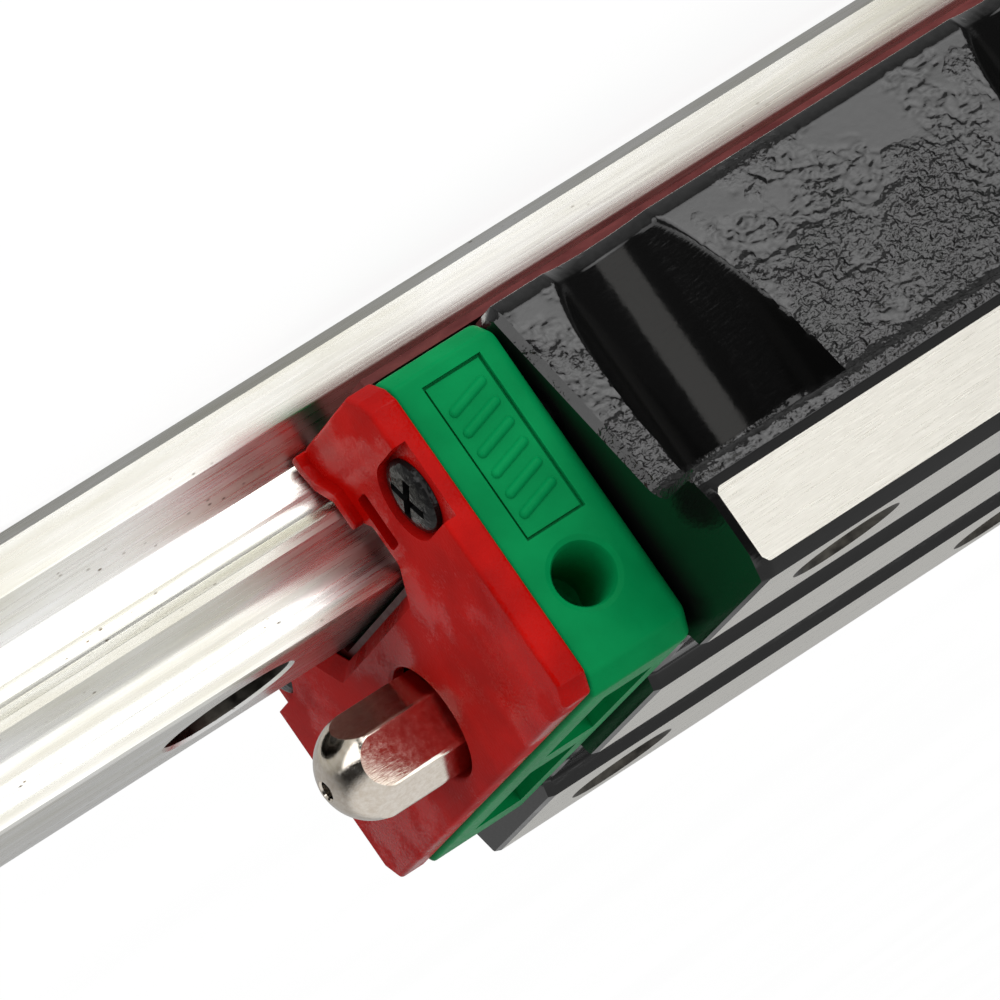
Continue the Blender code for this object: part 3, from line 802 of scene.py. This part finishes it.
def block_hole_cutters():
    """The tapped holes with their threads, the cap screws' holes and the ball return bores."""
    top = BLOCK_TOP
    tapped = [(0, top + 1), (3.3, top + 1), (3.25, top + 0.1), (2.55, top - 0.65)]
    ridges = []
    for turn in range(THREAD_TURNS):
        z = top - 1.2 - THREAD_PITCH * turn
        ridges += [(2.5, z), (2.22, z - 0.4)]
    tapped += ridges + [(2.2, 17), (0, 17)]
    mouth = [(0, 17.5), (2.2, 17.5), (2.2, 17), (2.6, 16.5), (2.6, 12), (0, 12)]
    cutters = []
    for x in (-BOLT_X, BOLT_X):
        for y in (-BOLT_Y, BOLT_Y):
            cutters.append(turned("tapped", tapped, (x, y, 0), (0, 0, 1)))
            cutters.append(turned("mouth", mouth, (x, y, 0), (0, 0, 1)))
            outward = math.copysign(1, x)
            start = (15.4 * outward, math.copysign(SCREW_Y, y), SCREW_Z)
            cutters.append(rod("screw_hole", 1.45, start, 6, (outward, 0, 0), 24))
    for side in SIDES.values():
        for y, z in (UPPER_RETURN, LOWER_RETURN):
            start = (-21, side * y, z)
            cutters.append(rod("return_bore", RETURN_RADIUS, start, 42, (1, 0, 0), 32))
    return cutters


BLOCK_LOOKS = ("black_paint", "land", "race", "bore", "smooth_paint")
TRACK_Y = (7.5, 9.72)  # the ball tracks and the retainers' seats lie between these
TRACK_TOP = 12.2
FLANGE_UNDERSIDE = WALL_HIGH + 0.9
TAPPED_MOUTH_RADIUS = 3.3


def block_look(face):
    """The look of one face of the block, by its place and by the way it faces."""
    centre, normal = face.center / MM, face.normal
    out, z = abs(centre.y), centre.z
    to_bolt = math.hypot(abs(centre.x) - BOLT_X, out - BOLT_Y)
    low, high = TRACK_Y
    if low < out < high and BLOCK_BOTTOM + 0.05 < z < TRACK_TOP and abs(normal.x) < 0.5:
        return "race"
    # The tapped holes take the dark bore colour, which is painted shade inside the holes.
    if to_bolt < TAPPED_MOUTH_RADIUS and FLANGE_UNDERSIDE < z < BLOCK_TOP - 0.01:
        return "bore"
    if out > BLOCK_HALF_WIDTH - 0.01 and abs(normal.y) > 0.99:
        return "land"
    if z > BLOCK_TOP - 0.02 and normal.z > 0.99:
        return "land"
    in_scoop = to_bolt < SCOOP_RADIUS + 0.05 and z < WALL_HIGH
    if in_scoop or abs(normal.x) > 0.8 or z > LAND_LOW - 0.6:
        return "smooth_paint"
    return "black_paint"


def paint_block(block):
    """Black paint, with bare steel on the flat ground lands and in the ball tracks, and dark steel in
    the holes, whose darkness is painted shade.
    """
    mesh = block.data
    mesh.materials.clear()
    for name in BLOCK_LOOKS:
        mesh.materials.append(MATERIALS[name])
    for face in mesh.polygons:
        look = block_look(face)
        face.material_index = BLOCK_LOOKS.index(look)
        if look == "land":
            face.use_smooth = False


def make_block():
    block = loft("carriage_block", [block_ring(x) for x in block_stations()])
    carve(block, block_hole_cutters())
    smooth(block, 40)
    paint_block(block)
    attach(block, "carriage")
    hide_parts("block")
    return block


# End caps


CAP_HALF_WIDTH = 16.7
CAP_LOW = 4.7
CAP_HIGH = 23.35
CAP_OPENING = [(9.0, CAP_LOW), (9.0, 7.4), (8.4, 8.2), (8.4, 12.4), (7.6, 13.2)]


def cap_outline(inset):
    """The cap seen along X, drawn in by an inset round its outside."""
    out, low, high = CAP_HALF_WIDTH - inset, CAP_LOW + inset * 0.6, CAP_HIGH - inset
    half = [(y, max(z, low), 0.25) for y, z in reversed(CAP_OPENING)]
    half += [(15.6 - inset, low, 0.4), (out, low + 0.8, 0.4)]
    half += [(out, high - 0.95, 0.5), (out - 1.0, high, 0.5)]
    return rounded(closed_half(half), 4)


def make_cap_body(name, outward):
    """Rings from the seal's side to the block's, with a small edge and then a large one."""
    rings = []
    front, back = SEAL_BACK - 0.02, CAP_BACK
    small, small_steps = 0.25, 4
    large, large_steps = 0.8, 10
    for step in range(small_steps + 1):
        turn = math.pi / 2 * step / small_steps
        inset = small * (1 - math.sin(turn))
        rings.append((front - small * (1 - math.cos(turn)), inset))
    for step in range(large_steps + 1):
        turn = math.pi / 2 * step / large_steps
        inset = large * (1 - math.cos(turn))
        rings.append((back + large * (1 - math.sin(turn)), inset))
    shapes = []
    for x, inset in rings:
        shapes.append([(x * outward, y, z) for y, z in cap_outline(inset)])
    return loft(name, shapes)


CAP_INSIDE = 19.0  # cuts from the block's side start here, clear of the cap
SCREW_WAY_RADIUS = 1.5
PANEL_X = (21.6, 25.2)
PANEL_Z = (6.2, 15.3)
SIDE_HOLE = (23.7, 18.1, 1.6)
SIDE_HOLE_DEPTH = 6.4
RIB_COUNT = 6


def end_box(name, x_range, y_range, z_range, side, outward):
    """A box on one side of one end, from ranges measured outwards."""
    x_low, x_high = span(*x_range, outward)
    y_low, y_high = span(*y_range, side)
    return box(name, (x_low, y_low, z_range[0]), (x_high, y_high, z_range[1]))


def rib_bar(start, end, radius):
    """A straight bar with round ends."""
    start, end = Vector(start), Vector(end)
    along = end - start
    points = []
    for step in range(7):
        turn = math.pi / 2 * step / 6
        points.append((radius * math.sin(turn), along.length + radius * math.cos(turn)))
    profile = points + [(r, along.length - h) for r, h in reversed(points)]
    return turned("rib", profile, start, along, 20)


def dress_panel(cap, side, outward):
    """Sinks a plain panel in the cap's side, with slanting grip ribs inside it."""
    x0, x1 = PANEL_X
    z0, z1 = PANEL_Z
    out, depth, groove, width = CAP_HALF_WIDTH, 0.16, 0.36, 0.17
    strips = [((x0, x0 + width), (z0, z1)), ((x1 - width, x1), (z0, z1))]
    strips += [((x0, x1), (z0, z0 + width)), ((x0, x1), (z1 - width, z1))]
    sunk = [end_box("panel", (x0, x1), (out - depth, out + 1), (z0, z1), side, outward)]
    for x_range, z_range in strips:
        sunk.append(end_box("groove", x_range, (out - groove, out + 1), z_range, side, outward))
    carve(cap, sunk)
    ribs = []
    for rib in range(RIB_COUNT):
        z = z0 + 1.25 + (z1 - z0 - 3.1) * rib / (RIB_COUNT - 1)
        y = side * (out - depth - 0.1)
        start = ((x0 + 0.75) * outward, y, z)
        end = ((x1 - 0.75) * outward, y, z + 0.6)
        ribs.append(rib_bar(start, end, 0.3))
    carve(cap, ribs, "UNION")


def side_hole_cutter(side, outward):
    """A plain round hole in the cap's side, with a soft mouth."""
    x, z, radius = SIDE_HOLE
    depth = SIDE_HOLE_DEPTH
    hole = [(0, depth + 1), (radius + 0.45, depth + 1), (radius + 0.4, depth)]
    hole += [(radius + 0.12, depth - 0.12), (radius, depth - 0.35)]
    hole += [(radius - 0.08, 0.3), (radius - 0.4, 0), (0, 0)]
    start = (x * outward, side * (CAP_HALF_WIDTH - depth), z)
    return turned("side_hole", hole, start, (0, side, 0))


def ball_turn_cutter(load, back, side, outward):
    """The slot in which the balls turn round between a loaded row and its return bore."""
    radius = RETURN_RADIUS
    turn = math.degrees(math.atan2(back[1] - load[1], back[0] - load[0]))
    outline = arc(back, radius, turn - 90, turn + 90, 16)
    outline += arc(load, radius, turn + 90, turn + 270, 16)
    return prism("ball_turn", [flipped(outline, side)], *span(CAP_INSIDE, 24.6, outward))


def make_end_cap(end, outward):
    cap = make_cap_body(f"cap_{end}", outward)
    along = (outward, 0, 0)
    cutters = []
    for side in SIDES.values():
        cutters.append(side_hole_cutter(side, outward))
        cutters.append(end_box("top_pocket", (21.9, 24.9), (1.5, 12.5), (22.6, 24), side, outward))
        start = (CAP_INSIDE * outward, side * SCREW_Y, SCREW_Z)
        cutters.append(rod("screw_way", SCREW_WAY_RADIUS, start, 9, along, 32))
        for load, back in ((UPPER_ROW, UPPER_RETURN), (LOWER_ROW, LOWER_RETURN)):
            cutters.append(ball_turn_cutter(load, back, side, outward))
        slot = ((CAP_INSIDE, 21.4), (9.5, 10.75), (5.6, 13.0))
        cutters.append(end_box("guide_slot", *slot, side, outward))
    cutters.append(rod("grease_way", 2.4, (21.0 * outward, 0, NIPPLE_Z), 7, along))
    carve(cap, cutters)
    for side in SIDES.values():
        dress_panel(cap, side, outward)
    smooth(cap, 32)
    return finish_piece(cap, "carriage", "green_plastic", f"end_cap_{end}")


# End seals


SEAL_OPENING_TOP = [(0, 13.2, 0), (6.35, 13.2, 0.3), (8.15, 11.7, 0.3), (8.15, 9.9, 0.3)]
SEAL_MOUTH_TOP = [(0, 13.95, 0), (6.9, 13.95, 0.3), (8.95, 12.1, 0.3), (8.95, 9.8, 0.3)]
SEAL_OPENING_FOOT = [(7.8, 9.3, 0.3), (7.8, 7.6, 0.3), (6.6, 6.5, 0.3), (6.2, 5.2, 0.3)]


SEAL_OUTSIDE = [(7.2, 4.5), (15.5, 4.5), (16.6, 5.2), (17.1, 6.0), (17.1, 22.1), (16.2, 23.1)]
SEAL_TOP = 23.1


def seal_outline():
    half = SEAL_OPENING_TOP + SEAL_OPENING_FOOT + [(y, z, 0.3) for y, z in SEAL_OUTSIDE]
    return rounded(closed_half(half + [(0, SEAL_TOP, 0)]))


def seal_mouth(name, outward):
    """A cutter that slopes the opening's edge in from the plate's face."""
    shapes = []
    for x, top in ((SEAL_FACE - 0.75, SEAL_OPENING_TOP), (SEAL_FACE + 0.02, SEAL_MOUTH_TOP)):
        corners = closed_half(top + [(7.9, 9.1, 0.2), (7.8, 8.9, 0)])
        shapes.append([(x * outward, y, z) for y, z in rounded(corners)])
    return loft(name, shapes)


def seal_rim(side, outward):
    """The raised edge that hugs the rail's lower flank."""
    corners = [(6.25, 4.55), (6.2, 5.2), (6.6, 6.5), (7.8, 7.6), (7.8, 9.35)]
    corners += [(8.5, 9.2), (8.5, 7.35), (7.3, 6.2), (6.95, 5.2), (7.2, 4.55)]
    outline = rounded([(y, z, 0.2) for y, z in corners], 3)
    return prism("rim", [flipped(outline, side)], *span(27.7, 28.95, outward), edge=0.08)


POCKET_RADIUS = 2.2


NIPPLE_WINDOW_RADIUS = 3.2


def make_end_seal(end, outward):
    outlines = [seal_outline(), arc((0, NIPPLE_Z), NIPPLE_WINDOW_RADIUS, 0, 360, 64)[:-1]]
    plate = prism(f"seal_plate_{end}", outlines, *span(SEAL_BACK, SEAL_FACE, outward), edge=0.25)
    cutters = []
    for side in SIDES.values():
        pocket = arc((SCREW_Y, SCREW_Z), POCKET_RADIUS, 90, 270, 24)
        pocket += [(18, SCREW_Z - POCKET_RADIUS), (18, SCREW_Z + POCKET_RADIUS)]
        cutters.append(prism("pocket", [flipped(pocket, side)], *span(27.65, 29.0, outward)))
        start = (26.0 * outward, side * SCREW_Y, SCREW_Z)
        cutters.append(rod("screw_hole", SCREW_WAY_RADIUS, start, 3, (outward, 0, 0), 32))
        slot = rounded([(9.3, 8.3, 0.3), (10.6, 8.3, 0.3), (10.6, 11.4, 0.3), (9.3, 11.4, 0.3)])
        cutters.append(prism("slot", [flipped(slot, side)], *span(27.9, 29.0, outward)))
    room = [(12.6, 3.5), (12.6, 16.6), (-12.6, 16.6), (-12.6, 3.5)]
    cutters.append(prism("lip_room", [room], *span(26.0, 27.6, outward)))
    cutters.append(seal_mouth("mouth", outward))
    carve(plate, cutters)
    carve(plate, [seal_rim(side, outward) for side in SIDES.values()], "UNION")
    smooth(plate, 32)
    return finish_piece(plate, "carriage", "red_seal", f"end_seal_{end}")


LIP_CLEARANCE = 0.2


def make_seal_lip(end, outward):
    """The wiping lip, which follows the rail's section at a small distance."""
    profile = [(y + LIP_CLEARANCE, z) for y, z in rail_half_outline() if 5.0 < z < 12.2 and y > 0]
    inside = list(reversed([(6.05, 4.9)] + profile + [(6.7, 12.75), (0, 12.75)]))
    outline = closed_half(inside + [(12.2, 4.9), (12.2, 15.0), (0, 15.0)])
    lip = prism(f"wiper_{end}", [outline], *span(26.7, 27.3, outward))
    smooth(lip)
    return finish_piece(lip, "carriage", "seal_rubber", f"seal_lip_{end}")


SCREW_TIP = 15.6
SCREW_SEAT = 27.6
SCREW_CROWN = 28.3
RECESS_ANGLES = (28, 118)


def make_cap_screw(end, outward, side_name, side):
    """A screw with a low round head and a cross recess."""
    head, top = SCREW_SEAT - SCREW_TIP, SCREW_CROWN - SCREW_TIP
    profile = [(0, top), (1.2, top - 0.03), (1.75, top - 0.15), (2.0, top - 0.33)]
    profile += [(2.05, head + 0.1), (1.98, head), (1.2, head), (1.2, 0.5), (0.8, 0), (0, 0)]
    place = (SCREW_TIP * outward, side * SCREW_Y, SCREW_Z)
    screw = turned(f"screw_{end}_{side_name}", profile, place, (outward, 0, 0))
    arm = [(-1.3, -0.27), (1.3, -0.27), (1.3, 0.27), (-1.3, 0.27)]
    cutters = []
    for degrees in RECESS_ANGLES:
        angle = math.radians(degrees)
        outline = []
        for u, v in arm:
            y = side * SCREW_Y + u * math.cos(angle) - v * math.sin(angle)
            outline.append((y, SCREW_Z + u * math.sin(angle) + v * math.cos(angle)))
        cutters.append(prism("recess", [outline], *span(27.4, 29.0, outward)))
    carve(screw, cutters)
    smooth(screw)
    return finish_piece(screw, "carriage", "black_screw", f"cap_screw_{end}_{side_name}")


# Grease nipple


NIPPLE_CORNER = 2.9  # from the hexagon's middle to its corners
NIPPLE_SEAT = 26.75
GREASE_BORE = 0.8


def make_nipple():
    """A domed hexagon with a small round mouth, on a plain shank."""
    tip, corner, start, bore = NIPPLE_TIP, NIPPLE_CORNER, NIPPLE_SEAT, GREASE_BORE
    dome = [(0.5, tip - 0.12), (0.58, tip - 0.02), (0.68, tip), (0.8, tip - 0.04)]
    dome_steps = 18
    for step in range(1, dome_steps + 1):
        angle = math.radians(16 + 74 * step / dome_steps)
        dome.append((corner * math.sin(angle), tip - corner * (1 - math.cos(angle)) + 0.06))
    profile = dome + [(corner, start + 0.15), (corner - 0.2, start), (bore, start)]
    profile += [(bore, tip - 1.0), (0.5, tip - 0.12)]
    body = turned("nipple_body", profile, (0, 0, NIPPLE_Z), (1, 0, 0), 96)
    flats = rounded([(y, z, 0.12) for y, z in arc((0, NIPPLE_Z), corner, 20, 320, 5)], 3)
    hexagon = prism("hexagon", [flats], start - 1, tip + 1)
    carve(body, [hexagon], "INTERSECT")
    smooth(body, 24)
    shank = [(2.0, start - 0.05), (2.0, 22.4), (1.7, 22.0), (bore, 22.0), (bore, start - 0.05)]
    shank.append(shank[0])
    thread = turned("nipple_thread", shank, (0, 0, NIPPLE_Z), (1, 0, 0), 48)
    smooth(thread)
    finish_piece(thread, "carriage", "nickel")
    return finish_piece(body, "carriage", "nickel", "grease_nipple")


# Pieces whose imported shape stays


def dress_packed_nodes():
    """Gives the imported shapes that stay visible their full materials."""
    slots = {part["node"]: part["material_slot"] for part in frame["record"]["subparts"]}
    kept = ["ball_retainer_top", "nipple_check_ball", "nipple_spring", "rear_grease_plug"]
    for side in SIDES:
        kept += [f"ball_retainer_{side}", f"bottom_seal_{side}"]
        kept += [f"balls_upper_{side}", f"balls_lower_{side}"]
        kept += [f"return_guide_{end}_{side}" for end in ENDS]
    for name in kept:
        thing = frame["nodes"][name]
        if not thing.material_slots:
            thing.data.materials.append(None)
        # The bottom seals take the darker red, which is painted shade from under the block.
        look = "red_painted_shade" if name.startswith("bottom_seal") else slots[name]
        for slot in thing.material_slots:
            slot.material = MATERIALS[look]


# Studio

CAMERA_TARGET = (21.2, -23.5, 13.6)
CAMERA_DISTANCE = 483.0
CAMERA_AZIMUTH = 21.92
CAMERA_ELEVATION = 5.68
CAMERA_ROLL = 145.26
CAMERA_LENS = 363.7


def make_camera():
    camera = bpy.data.objects.new("camera", bpy.data.cameras.new("camera"))
    camera.data.lens = CAMERA_LENS
    camera.data.sensor_width = 36
    camera.data.clip_start = 0.01
    camera.data.clip_end = 50
    azimuth = math.radians(CAMERA_AZIMUTH)
    elevation = math.radians(CAMERA_ELEVATION)
    level = math.cos(elevation)
    back = Vector((math.sin(azimuth) * level, -math.cos(azimuth) * level, math.sin(elevation)))
    camera.location = Vector(CAMERA_TARGET) * MM + back * CAMERA_DISTANCE * MM
    upright = (-back).to_track_quat("-Z", "Y").to_matrix()
    camera.rotation_euler = (upright @ Matrix.Rotation(math.radians(CAMERA_ROLL), 3, "Z")).to_euler()
    bpy.context.scene.collection.objects.link(camera)
    bpy.context.scene.camera = camera


def make_floor():
    """A lit white floor. Glossy pieces mirror the softboxes through it, not the floor itself."""
    shell = bmesh.new()
    bmesh.ops.create_grid(shell, x_segments=1, y_segments=1, size=8)
    mesh = bpy.data.meshes.new("floor")
    shell.to_mesh(mesh)
    shell.free()
    floor = link("floor", mesh, 0)
    floor.location.z = -0.2 * MM
    floor.visible_glossy = False
    floor.visible_shadow = False
    paper = Shading("floor_paper", (0.12, 0.12, 0.12), 0.8, Specular_IOR_Level=0.0)
    paper.set("Emission Color", (1, 1, 1, 1))
    paper.set("Emission Strength", 0.91)
    paper.vary_colour(paper.noise((0.02, 0.02, 0.02)), (0.11, 0.11, 0.11), (0.13, 0.13, 0.13))
    floor.data.materials.append(paper.material)


LIGHT_DISTANCE = 600.0
LIGHT_AIM = (10, 0, 12)


def softbox(name, azimuth, elevation, width, height, radiance, colour=(1, 1, 1)):
    """A rectangular light aimed at the carriage. Azimuth 0 is -Y and 90 is +X, all in degrees."""
    across, up = math.radians(azimuth), math.radians(elevation)
    outward = Vector((math.sin(across) * math.cos(up), -math.cos(across) * math.cos(up), math.sin(up)))
    data = bpy.data.lights.new(name, "AREA")
    data.shape = "RECTANGLE"
    data.size = 2 * LIGHT_DISTANCE * math.tan(math.radians(width / 2)) * MM
    data.size_y = 2 * LIGHT_DISTANCE * math.tan(math.radians(height / 2)) * MM
    data.energy = radiance * math.pi * data.size * data.size_y
    data.color = colour
    lamp = bpy.data.objects.new(name, data)
    lamp.location = (Vector(LIGHT_AIM) + outward * LIGHT_DISTANCE) * MM
    lamp.rotation_euler = (-outward).to_track_quat("-Z", "Y").to_euler()
    lamp.visible_camera = False
    bpy.context.scene.collection.objects.link(lamp)
    return data


FADE_SIZE = 1.6  # a fading softbox's width and height, in radii of its round fade


def soften(data, edge, middle):
    """Makes a softbox fade from its middle to its edges."""
    data.use_nodes = True
    tree = data.node_tree
    place = tree.nodes.new("ShaderNodeNewGeometry")
    centred = tree.nodes.new("ShaderNodeVectorMath")
    centred.operation = "MULTIPLY_ADD"
    centred.inputs[1].default_value = (FADE_SIZE, FADE_SIZE, 0)
    centred.inputs[2].default_value = (-FADE_SIZE / 2, -FADE_SIZE / 2, 0)
    round_fade = tree.nodes.new("ShaderNodeTexGradient")
    round_fade.gradient_type = "SPHERICAL"
    level = tree.nodes.new("ShaderNodeMapRange")
    set_range(level, 0, 1, edge, middle)
    tree.links.new(place.outputs["Parametric"], centred.inputs[0])
    tree.links.new(centred.outputs[0], round_fade.inputs["Vector"])
    tree.links.new(round_fade.outputs["Fac"], level.inputs["Value"])
    tree.links.new(level.outputs["Result"], tree.nodes["Emission"].inputs["Strength"])


# Each row: axis, the span of its direction, and the sky's strength at the span's two ends.
SKY = (("Y", -0.2, 0.7, 0.03, 0.46), ("Z", 0.1, 0.6, 0.0, 0.8), ("Z", -0.65, -0.95, 0.0, 0.4))


def make_world():
    """A sky that is pale overhead and behind the object, and dark low down in front of it."""
    world = bpy.data.worlds.new("studio")
    world.use_nodes = True
    tree = world.node_tree
    sky = tree.nodes["Background"]
    sky.inputs["Color"].default_value = (1, 1, 1, 1)
    source = tree.nodes.new("ShaderNodeTexCoord")
    split = tree.nodes.new("ShaderNodeSeparateXYZ")
    tree.links.new(source.outputs["Generated"], split.inputs[0])
    total = None
    for axis, low, high, start, end in SKY:
        ramp = tree.nodes.new("ShaderNodeMapRange")
        ramp.interpolation_type = "SMOOTHSTEP"
        set_range(ramp, low, high, start, end)
        tree.links.new(split.outputs[axis], ramp.inputs["Value"])
        if total is None:
            total = ramp.outputs["Result"]
            continue
        brighter = tree.nodes.new("ShaderNodeMath")
        brighter.operation = "MAXIMUM"
        tree.links.new(total, brighter.inputs[0])
        tree.links.new(ramp.outputs["Result"], brighter.inputs[1])
        total = brighter.outputs[0]
    tree.links.new(total, sky.inputs["Strength"])
    bpy.context.scene.world = world


def make_lights():
    make_world()
    soften(softbox("low_front", -22, -33, 56, 38, 2.9), 0.4, 1.5)
    softbox("low_right", 60, -33, 56, 38, 2.2)
    softbox("level_front", -13, 6, 38, 36, 1.35, (1, 0.98, 0.94))
    softbox("high_front", -13, 37, 76, 26, 1.0)


def main():
    make_rail()
    make_block()
    for end, outward in ENDS.items():
        make_end_cap(end, outward)
        make_end_seal(end, outward)
        make_seal_lip(end, outward)
        for side_name, side in SIDES.items():
            make_cap_screw(end, outward, side_name, side)
    make_nipple()
    dress_packed_nodes()
    make_camera()
    make_floor()
    make_lights()
    bpy.context.scene.view_settings.view_transform = "Standard"


main()
